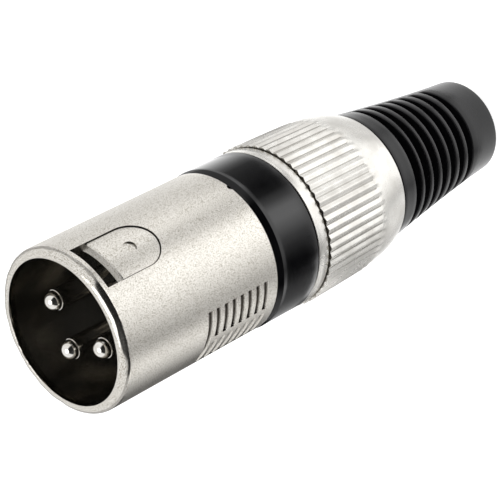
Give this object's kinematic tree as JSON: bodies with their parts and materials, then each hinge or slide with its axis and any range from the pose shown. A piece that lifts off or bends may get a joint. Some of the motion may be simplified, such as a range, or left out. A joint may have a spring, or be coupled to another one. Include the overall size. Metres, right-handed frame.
{
  "type": "xlr plug",
  "caption": "Male cable plug with a metal barrel round three pins, a latch window, a black ring, a fluted nut and a slotted rubber boot.",
  "frame": {"origin": "centre of the boot's end face, which the plug stands on", "axes": "+Z along the plug from the boot to the mouth, -Y towards the latch window, pin 1 at +X, pin 2 at -X and pin 3 at +Y"},
  "size_m": [0.0198, 0.0198, 0.067],
  "materials": {
    "satin_nickel": "matt nickel plate with a fine grain on cast zinc",
    "bright_nickel": "nickel plate on turned brass, half bright",
    "plated_pin": "polished plate on turned brass",
    "gloss_black_plastic": "glossy moulded",
    "matt_black_plastic": "matt moulded",
    "black_rubber": "moulded, with a soft sheen"
  },
  "bodies": {
    "shell": {"shell": "satin_nickel", "insert": "matt_black_plastic", "pin_1": "plated_pin", "pin_2": "plated_pin", "pin_3": "plated_pin", "ground_contact": "plated_pin", "ring": "gloss_black_plastic", "chuck": "matt_black_plastic"},
    "boot": {"boot": "black_rubber"},
    "nut": {"nut": "bright_nickel"}
  },
  "joints": [
    {"name": "nut_travel", "type": "slide", "parent": "shell", "child": "boot", "axis": [0, 0, -1], "range_m": [0, 0.006]},
    {"name": "nut_turn", "type": "hinge", "parent": "boot", "child": "nut", "pos_m": [0, 0, 0.029], "axis": [0, 0, -1], "range_deg": [0, 2160]}
  ],
  "couplings": [
    {"joint": "nut_travel", "follows": "nut_turn", "m_per_rad": 0.00015915}
  ]
}
